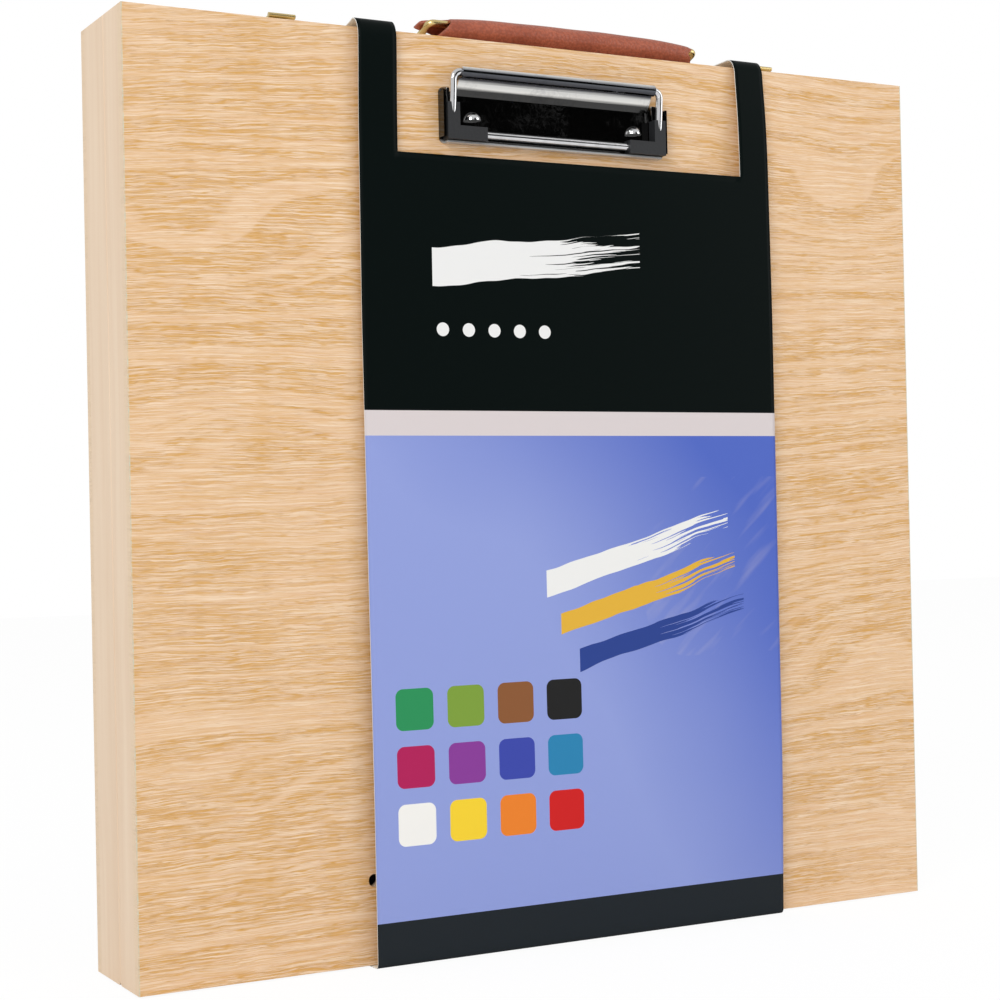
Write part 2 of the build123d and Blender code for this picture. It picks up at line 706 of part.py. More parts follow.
with BuildPart() as ledge_washers:
    with Locations([(bolt_bed_x, item_floor, small_z + s * 9.0) for s in (-1, 1)]):
        Cylinder(5.0, 0.9, rotation=(90, 0, 0), align=(Align.CENTER, Align.CENTER, Align.MIN))
        Cylinder(2.2, 3, rotation=(90, 0, 0), mode=Mode.SUBTRACT)
save(ledge_washers, "ledge_washers")

with BuildPart() as ledge_wing_nuts:
    for s in (-1, 1):
        with Locations((bolt_bed_x, item_floor - 0.9, small_z + s * 9.0)):
            Cylinder(3.4, 4.0, rotation=(90, 0, 0), align=(Align.CENTER, Align.CENTER, Align.MIN))
            with Locations((-5.0, -4.0, 0), (5.0, -4.0, 0)):
                Box(5.6, 6.0, 1.4)
            Cylinder(1.9, 12, rotation=(90, 0, 0), mode=Mode.SUBTRACT)
save(ledge_wing_nuts, "ledge_wing_nuts")
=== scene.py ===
import math
import bpy
import numpy as np
from mathutils import Matrix, Vector


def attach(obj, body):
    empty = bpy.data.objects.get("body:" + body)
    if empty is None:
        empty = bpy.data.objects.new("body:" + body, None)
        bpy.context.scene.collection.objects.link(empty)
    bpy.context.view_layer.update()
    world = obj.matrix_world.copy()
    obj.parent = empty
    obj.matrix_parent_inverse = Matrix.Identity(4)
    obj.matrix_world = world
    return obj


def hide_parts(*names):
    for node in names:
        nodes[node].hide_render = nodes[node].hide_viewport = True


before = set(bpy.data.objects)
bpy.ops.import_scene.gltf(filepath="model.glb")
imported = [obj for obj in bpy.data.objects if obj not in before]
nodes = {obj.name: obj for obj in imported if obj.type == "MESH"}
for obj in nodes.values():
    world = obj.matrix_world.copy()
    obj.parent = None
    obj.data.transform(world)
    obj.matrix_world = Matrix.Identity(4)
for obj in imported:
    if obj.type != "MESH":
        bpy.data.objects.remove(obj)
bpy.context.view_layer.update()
print("frame loaded:", len(nodes), "pieces")


# small helpers that wire up shader graphs and place meshes

def startMaterial(name):
    material = bpy.data.materials.new(name)
    material.use_nodes = True
    tree = material.node_tree
    shader = tree.nodes["Principled BSDF"]
    return material, tree, shader


def addNode(tree, kind, inputs=None, **settings):
    made = tree.nodes.new(kind)
    for key, value in settings.items():
        setattr(made, key, value)
    for key, value in (inputs or {}).items():
        feed(tree, made.inputs[key], value)
    return made


def feed(tree, socket, value):
    if isinstance(value, bpy.types.NodeSocket):
        tree.links.new(value, socket)
    else:
        socket.default_value = value


def calc(tree, operation, a, b=0.0, c=0.0):
    made = addNode(tree, "ShaderNodeMath", operation=operation)
    for socket, value in zip(made.inputs, (a, b, c)):
        feed(tree, socket, value)
    return made.outputs[0]


def squareSum(tree, a, b):
    return calc(tree, "MULTIPLY_ADD", a, a, calc(tree, "MULTIPLY", b, b))


def blendColour(tree, factor, first, second, mode="MIX"):
    made = addNode(tree, "ShaderNodeMix", data_type="RGBA", blend_type=mode)
    feed(tree, made.inputs[0], factor)
    feed(tree, made.inputs[6], first)
    feed(tree, made.inputs[7], second)
    return made.outputs[2]


def ramp(tree, factor, stops):
    made = addNode(tree, "ShaderNodeValToRGB", {"Fac": factor})
    while len(made.color_ramp.elements) < len(stops):
        made.color_ramp.elements.new(0.5)
    for element, (place, shade) in zip(made.color_ramp.elements, stops):
        element.position = place
        element.color = shade
    return made.outputs[0]


def steppedRamp(tree, factor, shades):
    # equal steps from 0 to 1, with no blend between neighbours
    made = addNode(tree, "ShaderNodeValToRGB", {"Fac": factor})
    steps = made.color_ramp
    steps.interpolation = "CONSTANT"
    while len(steps.elements) < len(shades):
        steps.elements.new(0.5)
    for index, shade in enumerate(shades):
        steps.elements[index].position = index / len(shades)
        steps.elements[index].color = shade
    return made.outputs[0]


def grey(level):
    return (level, level, level, 1.0)


def noise(tree, vector, scale, detail=4.0, roughness=0.55, distortion=0.0):
    made = addNode(tree, "ShaderNodeTexNoise",
                   {"Vector": vector, "Scale": scale, "Detail": detail,
                    "Roughness": roughness, "Distortion": distortion})
    return made.outputs[0]


def stretchedNoise(tree, x, height, layer):
    # layer: scale along x, scale across it, detail, roughness
    alongScale, acrossScale, detail, roughness = layer
    made = addNode(tree, "ShaderNodeCombineXYZ")
    feed(tree, made.inputs[0], calc(tree, "MULTIPLY", x, alongScale))
    feed(tree, made.inputs[2], calc(tree, "MULTIPLY", height, acrossScale))
    return noise(tree, made.outputs[0], 1.0, detail, roughness)


def objectPoint(tree, stretch=(1.0, 1.0, 1.0), shift=(0.0, 0.0, 0.0)):
    place = addNode(tree, "ShaderNodeTexCoord")
    made = addNode(tree, "ShaderNodeMapping", {"Vector": place.outputs["Object"]})
    made.inputs["Location"].default_value = shift
    made.inputs["Scale"].default_value = stretch
    return made.outputs[0]


def splitAxes(tree, vector):
    made = addNode(tree, "ShaderNodeSeparateXYZ", {"Vector": vector})
    return made.outputs[0], made.outputs[1], made.outputs[2]


def addBump(tree, shader, height, strength, distance):
    made = addNode(tree, "ShaderNodeBump", {"Height": height, "Strength": strength, "Distance": distance})
    tree.links.new(made.outputs[0], shader.inputs["Normal"])


def dress(material, *names):
    for name in names:
        mesh = nodes[name].data
        mesh.materials.clear()
        mesh.materials.append(material)


def placeMesh(name, points, faces, materials, smooth=False):
    mesh = bpy.data.meshes.new(name)
    mesh.from_pydata(points, [], faces)
    mesh.polygons.foreach_set("use_smooth", np.full(len(faces), smooth))
    for material in materials:
        mesh.materials.append(material)
    made = bpy.data.objects.new(name, mesh)
    bpy.context.scene.collection.objects.link(made)
    return made


# oak veneer of the two faces: golden pore lines over a pale ground

veneer = {
    "base": (0.795, 0.555, 0.352, 1.0),
    "pale": (0.865, 0.670, 0.480, 1.0),
    "rosy": (0.765, 0.510, 0.325, 1.0),
    "gold": (0.630, 0.325, 0.065, 1.0),
    "brown": (0.480, 0.250, 0.090, 1.0),
    "edgePine": (0.780, 0.600, 0.420, 1.0),
    "edgeLine": (0.600, 0.590, 0.460, 1.0),
    "streakAmount": 0.88,
    "roughness": 0.5,
    "gloss": 0.3,
    # where the thin grey line along the left and right edges starts, from the middle
    "rimFrom": 0.17455, "rimScale": 420.0,
    # noises that bend the fibres: scale, detail, height; the fall is per metre to the right
    "wave": (4.0, 1.0, 0.030), "fall": -0.035,
    "ripples": ((24.0, 2.0, 0.0026), (110.0, 2.0, 0.0009)),
    "bandWave": (7.0, 1.0, 0.020),
    # places where the figure arches: x, z, half length, half height, rise
    "arches": ((-0.155, 0.262, 0.055, 0.026, 0.030), (-0.125, 0.205, 0.060, 0.022, -0.024),
               (0.142, 0.292, 0.055, 0.022, 0.026), (0.152, 0.122, 0.060, 0.028, -0.030),
               (-0.150, 0.060, 0.060, 0.020, 0.022)),
    # noise drawn out along the fibres: scale along, scale across, detail, roughness
    "fine": (58.0, 3500.0, 2.0, 0.5),
    "strands": (24.0, 1700.0, 2.0, 0.6),
    "bands": (3.0, 270.0, 2.0, 0.5),
    "hairs": (40.0, 720.0, 2.0, 0.6),
    "pores": (150.0, 3200.0, 1.0, 0.55),
    "zoneScale": 9.0,
    "poreDip": 0.9, "bump": 0.5, "bumpDepth": 0.0003,
}


def lifted(tree, point, wave, height):
    scale, detail, rise = wave
    return calc(tree, "MULTIPLY_ADD", noise(tree, point, scale, detail), rise, height)


def veneerMaterial(name, shift):
    material, tree, shader = startMaterial(name)
    point = objectPoint(tree, shift=shift)
    x, _, z = splitAxes(tree, point)
    # a fibre is a line of one bent height: z, plus noises, plus the fall times x
    fibre = lifted(tree, point, veneer["wave"], z)
    fibre = calc(tree, "MULTIPLY_ADD", x, veneer["fall"], fibre)
    for ripple in veneer["ripples"]:
        fibre = lifted(tree, point, ripple, fibre)
    # growth bands also rise by rise * exp(-(dx / half length)^2 - (dz / half height)^2) at each arch
    bent = lifted(tree, point, veneer["bandWave"], fibre)
    for archX, archZ, halfLength, halfHeight, rise in veneer["arches"]:
        dx = calc(tree, "DIVIDE", calc(tree, "SUBTRACT", x, archX), halfLength)
        dz = calc(tree, "DIVIDE", calc(tree, "SUBTRACT", z, archZ), halfHeight)
        fade = calc(tree, "EXPONENT", calc(tree, "MULTIPLY", squareSum(tree, dx, dz), -1.0))
        bent = calc(tree, "MULTIPLY_ADD", fade, rise, bent)
    fine = stretchedNoise(tree, x, fibre, veneer["fine"])
    strands = stretchedNoise(tree, x, fibre, veneer["strands"])
    bands = stretchedNoise(tree, x, bent, veneer["bands"])
    zones = noise(tree, point, veneer["zoneScale"], 2.0)
    ground = ramp(tree, strands, [(0.34, veneer["rosy"]), (0.50, veneer["base"]), (0.68, veneer["pale"])])
    glint = ramp(tree, fine, [(0.34, grey(0.85)), (0.41, grey(0.0))])
    ground = blendColour(tree, glint, ground, veneer["pale"])
    calm = ramp(tree, zones, [(0.54, grey(1.0)), (0.70, grey(0.60))])
    dense = ramp(tree, bands, [(0.42, grey(0.40)), (0.52, grey(1.0))])
    # hairlines follow the level 0.5 of a stretched noise, so they taper, split and join
    hair = stretchedNoise(tree, x, fibre, veneer["hairs"])
    hairMask = ramp(tree, calc(tree, "ABSOLUTE", calc(tree, "SUBTRACT", hair, 0.5)),
                    [(0.015, grey(1.0)), (0.060, grey(0.0))])
    fineMask = calc(tree, "MAXIMUM", hairMask, ramp(tree, fine, [(0.50, grey(0.0)), (0.56, grey(0.75))]))
    strandMask = ramp(tree, strands, [(0.48, grey(1.0)), (0.64, grey(0.45))])
    amount = calc(tree, "MULTIPLY", calc(tree, "MULTIPLY", fineMask, strandMask),
                  calc(tree, "MULTIPLY", calc(tree, "MULTIPLY", calm, dense), veneer["streakAmount"]))
    face = blendColour(tree, amount, ground, veneer["gold"])
    pore = ramp(tree, stretchedNoise(tree, x, fibre, veneer["pores"]),
                [(0.62, grey(0.0)), (0.69, grey(0.60))])
    face = blendColour(tree, calc(tree, "MULTIPLY", pore, dense), face, veneer["brown"])
    # the rim is placed from the piece's own x, without the shift that moves the figure
    trueX = splitAxes(tree, objectPoint(tree))[0]
    rim = calc(tree, "GREATER_THAN", calc(tree, "ABSOLUTE", trueX), veneer["rimFrom"])
    ragged = ramp(tree, noise(tree, point, veneer["rimScale"], 2.0), [(0.34, grey(1.0)), (0.60, grey(0.35))])
    face = blendColour(tree, calc(tree, "MULTIPLY", rim, ragged), face, veneer["edgeLine"])
    facing = splitAxes(tree, addNode(tree, "ShaderNodeTexCoord").outputs["Normal"])[1]
    isEdge = calc(tree, "LESS_THAN", calc(tree, "ABSOLUTE", facing), 0.5)
    feed(tree, shader.inputs["Base Color"], blendColour(tree, isEdge, face, veneer["edgePine"]))
    shader.inputs["Roughness"].default_value = veneer["roughness"]
    shader.inputs["Specular IOR Level"].default_value = veneer["gloss"]
    level = calc(tree, "SUBTRACT", 1.0, calc(tree, "MULTIPLY", amount, veneer["poreDip"]))
    addBump(tree, shader, level, veneer["bump"], veneer["bumpDepth"])
    return material


# pale pine of the rails, sides, racks and arms

pine = {
    "light": (0.810, 0.635, 0.465, 1.0),
    "dark": (0.745, 0.550, 0.380, 1.0),
    "roughness": 0.5,
    "alongScale": 9.0, "acrossScale": 260.0,
    "wander": 0.012, "wanderScale": 6.0,
    "broadAlong": 3.0, "broadAcross": 60.0,
    "lineShare": 0.45,
    "bump": 0.25, "bumpDepth": 0.0004,
}


def pineMaterial(name, alongX=False):
    material, tree, shader = startMaterial(name)
    point = objectPoint(tree)
    x, y, z = splitAxes(tree, point)
    along, across = (x, z) if alongX else (z, x)
    slow = noise(tree, point, pine["wanderScale"], 2.0)
    lines = addNode(tree, "ShaderNodeCombineXYZ")
    feed(tree, lines.inputs[0], calc(tree, "MULTIPLY", along, pine["alongScale"]))
    for socket, axis in ((lines.inputs[1], across), (lines.inputs[2], y)):
        bent = calc(tree, "MULTIPLY_ADD", slow, pine["wander"], axis)
        feed(tree, socket, calc(tree, "MULTIPLY", bent, pine["acrossScale"]))
    lineNoise = noise(tree, lines.outputs[0], 1.0, 3.0, 0.55)
    wide, narrow = pine["broadAcross"], pine["broadAlong"]
    stretch = (narrow, wide, wide) if alongX else (wide, wide, narrow)
    broad = noise(tree, objectPoint(tree, stretch), 1.0, 2.0)
    # grain = broad + share * (lines - broad)
    grain = calc(tree, "MULTIPLY_ADD", calc(tree, "SUBTRACT", lineNoise, broad), pine["lineShare"], broad)
    feed(tree, shader.inputs["Base Color"], ramp(tree, grain, [(0.34, pine["dark"]), (0.62, pine["light"])]))
    shader.inputs["Roughness"].default_value = pine["roughness"]
    addBump(tree, shader, grain, pine["bump"], pine["bumpDepth"])
    return material


dress(veneerMaterial("veneerFront", (0.0, 0.0, 0.0)), "lid_panel")
dress(veneerMaterial("veneerBack", (0.8, 0.0, 0.3)), "base_back_panel")
dress(pineMaterial("pineUpright"), "lid_left_side", "lid_right_side", "base_left_side", "base_right_side",
      "left_rack", "right_rack", "prop_left_arm", "prop_right_arm")
dress(pineMaterial("pineAcross", alongX=True), "lid_top_rail", "lid_bottom_rail", "base_top_rail",
      "base_bottom_rail", "prop_foot_bar", "pencil_ledge")
print("wood dressed")


metals = {
    "chrome": ((0.78, 0.78, 0.79, 1.0), 0.12),
    "gilt": ((0.80, 0.62, 0.28, 1.0), 0.24),
    "hinge": ((0.72, 0.56, 0.28, 1.0), 0.34),
    "zinc": ((0.56, 0.57, 0.58, 1.0), 0.38),
    "sharpenerAlloy": ((0.62, 0.63, 0.65, 1.0), 0.32),
}
# how metals are clouded: worn spots are dimmer and duller, the rest a little brighter than stated
metalWear = {
    "cloudScale": 180.0, "dim": 0.82, "dull": 1.35, "bright": 0.8,
    "grainScale": 900.0, "bump": 0.06, "bumpDepth": 0.0002,
}


def metalMaterial(name):
    shade, rough = metals[name]
    material, tree, shader = startMaterial(name)
    point = objectPoint(tree)
    cloud = noise(tree, point, metalWear["cloudScale"], 3.0)
    worn = [value * metalWear["dim"] for value in shade[:3]] + [1.0]
    feed(tree, shader.inputs["Base Color"], ramp(tree, cloud, [(0.30, worn), (0.60, shade)]))
    dull, bright = grey(rough * metalWear["dull"]), grey(rough * metalWear["bright"])
    feed(tree, shader.inputs["Roughness"], ramp(tree, cloud, [(0.30, dull), (0.65, bright)]))
    shader.inputs["Metallic"].default_value = 1.0
    addBump(tree, shader, noise(tree, point, metalWear["grainScale"], 2.0), metalWear["bump"],
            metalWear["bumpDepth"])
    return material


def plainMaterial(name, shade, rough, bumpScale=900.0, bump=0.2, vary=0.08, sheen=0.0, coat=0.0,
                  cloudScale=60.0, bumpDepth=0.0004):
    material, tree, shader = startMaterial(name)
    point = objectPoint(tree)
    cloud = noise(tree, point, cloudScale, 3.0)
    low = [value * (1.0 - vary) for value in shade[:3]] + [1.0]
    feed(tree, shader.inputs["Base Color"], ramp(tree, cloud, [(0.32, low), (0.62, shade)]))
    shader.inputs["Roughness"].default_value = rough
    shader.inputs["Sheen Weight"].default_value = sheen
    shader.inputs["Coat Weight"].default_value = coat
    addBump(tree, shader, noise(tree, point, bumpScale, 3.0), bump, bumpDepth)
    return material


clipPlate = {
    "shade": (0.86, 0.86, 0.85, 1.0),
    "smudge": (0.70, 0.70, 0.70, 1.0),
    "clean": 0.05,
    "smeared": 0.20,
    "toneFoot": 0.3095, "toneHead": 0.3395,
    "lip": 0.0014, "lipScatter": 0.7,
    "brushing": (30.0, 2600.0, 2.0, 0.55), "brushingRise": 0.0012,
    # painted reflections against height, foot to head: bright lip, dark flat, bright swell under the roll,
    # dark roll, bright crest; light and dark bands that stand in for what the plate mirrors
    "paintedReflections": ((0.00, (1.0, 1.0, 1.0, 1)), (0.06, (0.09, 0.09, 0.09, 1)), (0.71, (0.07, 0.07, 0.07, 1)),
              (0.745, (1.0, 0.99, 0.96, 1)), (0.79, (0.85, 0.85, 0.84, 1)), (0.83, (0.06, 0.06, 0.07, 1)),
              (0.92, (0.16, 0.17, 0.19, 1)), (0.96, (1.0, 1.0, 1.0, 1))),
}


def clipPlateMaterial():
    # bright plate with cloudy finger smudges that dull its shine and dim it a little, its colour multiplied
    # by painted reflection bands
    material, tree, shader = startMaterial("clipMirror")
    point = objectPoint(tree)
    cloud = calc(tree, "MULTIPLY", noise(tree, point, 55.0, 2.0), noise(tree, point, 340.0, 4.0, 0.7, 1.5))
    smear = ramp(tree, cloud, [(0.24, grey(0.0)), (0.36, grey(1.0))])
    x, _, z = splitAxes(tree, point)
    brushed = stretchedNoise(tree, x, z, clipPlate["brushing"])
    streak = calc(tree, "MULTIPLY_ADD", brushed, clipPlate["brushingRise"], z)
    # painted reflection: light and dark bands by height, rippled by the brushing, multiplied into the plate's
    # colour
    paintedReflection = ramp(tree, calc(tree, "DIVIDE", calc(tree, "SUBTRACT", streak, clipPlate["toneFoot"]),
                           clipPlate["toneHead"] - clipPlate["toneFoot"]), clipPlate["paintedReflections"])
    plate = blendColour(tree, smear, clipPlate["shade"], clipPlate["smudge"])
    feed(tree, shader.inputs["Base Color"], blendColour(tree, 1.0, plate, paintedReflection, mode="MULTIPLY"))
    span = clipPlate["smeared"] - clipPlate["clean"]
    feed(tree, shader.inputs["Roughness"], calc(tree, "MULTIPLY_ADD", smear, span, clipPlate["clean"]))
    # the rolled lip at the foot scatters light, so it is less of a mirror than the flat
    lip = calc(tree, "LESS_THAN", z, clipPlate["toneFoot"] + clipPlate["lip"])
    feed(tree, shader.inputs["Metallic"], calc(tree, "MULTIPLY_ADD", lip, -clipPlate["lipScatter"], 1.0))
    return material


dress(metalMaterial("gilt"), "latch_base_plates", "latch_pins", "latch_base_screws", "latch_catches",
      "latch_catch_screws", "left_latch_hasp", "right_latch_hasp", "handle_brackets",
      "handle_bracket_screws", "handle_bail", "brush_ferrules")
dress(metalMaterial("hinge"), "hinge_base_leaves", "hinge_lid_leaves", "hinge_pins", "hinge_base_screws",
      "hinge_lid_screws")
dress(metalMaterial("zinc"), "ledge_bolts", "ledge_washers", "ledge_wing_nuts", "prop_pivot_screws")
dress(metalMaterial("sharpenerAlloy"), "sharpener")
dress(metalMaterial("chrome"), "clip_rivets", "clip_jaw")
dress(clipPlateMaterial(), "clip_base_plate")
dress(plainMaterial("padRubber", (0.012, 0.013, 0.015, 1.0), 0.55), "clip_corner_pads")
dress(plainMaterial("trayFlock", (0.030, 0.031, 0.034, 1.0), 0.9, sheen=0.4), "insert_tray")
dress(plainMaterial("whitePlastic", (0.84, 0.84, 0.82, 1.0), 0.3, bump=0.05, vary=0.03), "tube_caps",
      "mixing_palette", "palette_knives")
dress(plainMaterial("eraserRubber", (0.86, 0.86, 0.83, 1.0), 0.7, vary=0.03), "eraser")
dress(plainMaterial("bluePaint", (0.020, 0.090, 0.330, 1.0), 0.25, bump=0.05, coat=0.4), "brush_handles")
dress(plainMaterial("tuftHair", (0.250, 0.095, 0.035, 1.0), 0.6, bumpScale=2500.0, bump=0.6, vary=0.4),
      "brush_tufts")
dress(plainMaterial("pencilPaint", (0.014, 0.014, 0.015, 1.0), 0.25, bump=0.05, coat=0.3), "pencil")
print("small pieces dressed")


# paint tubes: white enamel with one colour band, chosen by the tube's place in the two rows

tubePaint = {
    "enamel": 0.82,
    "roughness": 0.32,
    "leftX": 0.0115, "pitchX": 0.021,
    "rowsMeetZ": 0.215, "rowFootZ": 0.133, "rowPitchZ": 0.078,
    "bandAbove": 0.030, "bandHalf": 0.006,
    "dentScale": 160.0, "dent": 0.25, "dentDepth": 0.0006,
    "shades": ((0.80, 0.80, 0.78, 1), (0.90, 0.65, 0.05, 1), (0.85, 0.25, 0.03, 1), (0.70, 0.03, 0.02, 1),
               (0.45, 0.01, 0.03, 1), (0.03, 0.33, 0.08, 1), (0.01, 0.13, 0.05, 1), (0.08, 0.06, 0.45, 1),
               (0.10, 0.02, 0.18, 1), (0.28, 0.07, 0.03, 1), (0.12, 0.05, 0.02, 1), (0.01, 0.01, 0.01, 1)),
}


def tubeMaterial():
    material, tree, shader = startMaterial("tubeEnamel")
    q = tubePaint
    x, _, z = splitAxes(tree, objectPoint(tree))
    column = calc(tree, "FLOOR", calc(tree, "DIVIDE", calc(tree, "SUBTRACT", x, q["leftX"]), q["pitchX"]))
    row = calc(tree, "GREATER_THAN", z, q["rowsMeetZ"])
    count = len(q["shades"])
    place = calc(tree, "MULTIPLY_ADD", row, count / 2, calc(tree, "ADD", column, 0.5))
    shade = steppedRamp(tree, calc(tree, "DIVIDE", place, count), q["shades"])
    above = calc(tree, "MODULO", calc(tree, "SUBTRACT", z, q["rowFootZ"]), q["rowPitchZ"])
    away = calc(tree, "ABSOLUTE", calc(tree, "SUBTRACT", above, q["bandAbove"]))
    band = calc(tree, "LESS_THAN", away, q["bandHalf"])
    feed(tree, shader.inputs["Base Color"], blendColour(tree, band, grey(q["enamel"]), shade))
    shader.inputs["Roughness"].default_value = q["roughness"]
    addBump(tree, shader, noise(tree, objectPoint(tree), q["dentScale"], 2.0), q["dent"], q["dentDepth"])
    return material


dress(tubeMaterial(), "paint_tubes")


# the printed card sleeve

sleevePrint = {
    "black": (0.0020, 0.0046, 0.0042, 1.0),
    "slate": (0.0180, 0.0225, 0.0265, 1.0),
    "silver": (0.650, 0.590, 0.590, 1.0),
    "blueLight": (0.275, 0.335, 0.665, 1.0),
    "blueDeep": (0.085, 0.140, 0.510, 1.0),
    "cutEdge": (0.850, 0.840, 0.800, 1.0),
    "reverse": (0.800, 0.740, 0.640, 1.0),
    "chalk": (0.780, 0.780, 0.770, 1.0),
    "roughness": 0.38,
    "gloss": 0.05,
    "bumpScale": 500.0, "bump": 0.04, "bumpDepth": 0.0003,
    # heights where one colour of the ground ends and the next starts
    "slateTop": 0.0166, "blueTop": 0.1976, "silverTop": 0.2071,
    # depth of the blue: start + right * x + up * z + cloud * noise
    "blueStart": 0.26, "blueRight": 3.0, "blueUp": 2.2, "blueCloud": 0.25,
    # painted sheen, pale lines where the card is crumpled: where they show, and their drawn-out noise
    "crumpleFrom": 0.035, "crumpleCentre": (0.075, 0.145), "crumpleHalf": (0.040, 0.036),
    "crumpleCorner": 0.020, "crumple": (18.0, 110.0, 2.0, 0.55),
    # brush strokes: start, length, slope, half width, ink; then the one in chalk
    "strokes": (((-0.010, 0.140), 0.085, 0.28, 0.0050, (0.80, 0.80, 0.78, 1)),
                ((-0.004, 0.124), 0.082, 0.28, 0.0042, (0.72, 0.42, 0.05, 1)),
                ((0.004, 0.109), 0.078, 0.28, 0.0042, (0.03, 0.06, 0.26, 1))),
    "chalkStroke": ((-0.056, 0.262), 0.092, 0.10, 0.0075),
    "strokeWobble": 0.006, "bristles": (22.0, 1100.0, 2.0, 0.55), "dryStart": 0.16, "dryRise": 0.42,
    "dotStart": (-0.052, 0.238), "dotCount": 5, "dotPitch": 0.011, "dotRadius": 0.0026,
    # paint chips in three rows of four, from the lower left one
    "chipStart": (-0.068, 0.052), "chipPitch": 0.0215, "chipHalf": 0.0078, "chipCorner": 0.0030,
    "chips": ((0.85, 0.84, 0.80, 1), (0.88, 0.62, 0.04, 1), (0.80, 0.22, 0.03, 1), (0.60, 0.02, 0.02, 1),
              (0.42, 0.02, 0.10, 1), (0.24, 0.05, 0.30, 1), (0.05, 0.07, 0.38, 1), (0.03, 0.22, 0.42, 1),
              (0.03, 0.27, 0.10, 1), (0.20, 0.33, 0.05, 1), (0.25, 0.10, 0.04, 1), (0.02, 0.02, 0.02, 1)),
}


def boxMask(tree, x, z, centre, half, corner):
    # rounded box: distance outside the core box is below the corner radius
    past = []
    for value, middle, reach in ((x, centre[0], half[0]), (z, centre[1], half[1])):
        off = calc(tree, "ABSOLUTE", calc(tree, "SUBTRACT", value, middle))
        past.append(calc(tree, "MAXIMUM", calc(tree, "SUBTRACT", off, reach - corner), 0.0))
    return calc(tree, "LESS_THAN", calc(tree, "SQRT", squareSum(tree, *past)), corner)


def roundMask(tree, x, z, centre, radius):
    dx = calc(tree, "SUBTRACT", x, centre[0])
    dz = calc(tree, "SUBTRACT", z, centre[1])
    return calc(tree, "LESS_THAN", calc(tree, "SQRT", squareSum(tree, dx, dz)), radius)


def strokeMask(tree, point, x, z, start, length, slope, thick):
    # a brush stroke: a slanted bar with a wavy line, broken up more and more towards its far end
    q = sleevePrint
    wobble = calc(tree, "MULTIPLY_ADD", noise(tree, point, 30.0, 2.0), q["strokeWobble"],
                  -q["strokeWobble"] / 2)
    past = calc(tree, "SUBTRACT", x, start[0])
    line = calc(tree, "ADD", calc(tree, "MULTIPLY_ADD", past, slope, start[1]), wobble)
    off = calc(tree, "SUBTRACT", z, line)
    hair = stretchedNoise(tree, x, off, q["bristles"])
    run = calc(tree, "DIVIDE", past, length)
    dry = calc(tree, "GREATER_THAN", hair, calc(tree, "MULTIPLY_ADD", run, q["dryRise"], q["dryStart"]))
    withinEnds = calc(tree, "MULTIPLY", calc(tree, "GREATER_THAN", run, 0.0),
                      calc(tree, "LESS_THAN", run, 1.0))
    inside = calc(tree, "MULTIPLY", calc(tree, "LESS_THAN", calc(tree, "ABSOLUTE", off), thick), withinEnds)
    return calc(tree, "MULTIPLY", inside, dry)


def chipColours(tree, x, z):
    # the cell's column and row pick the colour, the place inside the cell cuts the chip's outline
    startX, startZ = sleevePrint["chipStart"]
    pitch = sleevePrint["chipPitch"]
    cellX = calc(tree, "DIVIDE", calc(tree, "SUBTRACT", x, startX - pitch / 2), pitch)
    cellZ = calc(tree, "DIVIDE", calc(tree, "SUBTRACT", z, startZ - pitch / 2), pitch)
    column = calc(tree, "FLOOR", cellX)
    row = calc(tree, "FLOOR", cellZ)
    localX = calc(tree, "MULTIPLY", calc(tree, "SUBTRACT", calc(tree, "SUBTRACT", cellX, column), 0.5), pitch)
    localZ = calc(tree, "MULTIPLY", calc(tree, "SUBTRACT", calc(tree, "SUBTRACT", cellZ, row), 0.5), pitch)
    half = sleevePrint["chipHalf"]
    chip = boxMask(tree, localX, localZ, (0.0, 0.0), (half, half), sleevePrint["chipCorner"])
    field = boxMask(tree, x, z, (startX + 1.5 * pitch, startZ + pitch), (2 * pitch, 1.5 * pitch), 0.0001)
    index = calc(tree, "ADD", calc(tree, "MULTIPLY_ADD", row, 4.0, column), 0.5)
    chips = sleevePrint["chips"]
    shade = steppedRamp(tree, calc(tree, "DIVIDE", index, len(chips)), chips)
    return calc(tree, "MULTIPLY", chip, field), shade


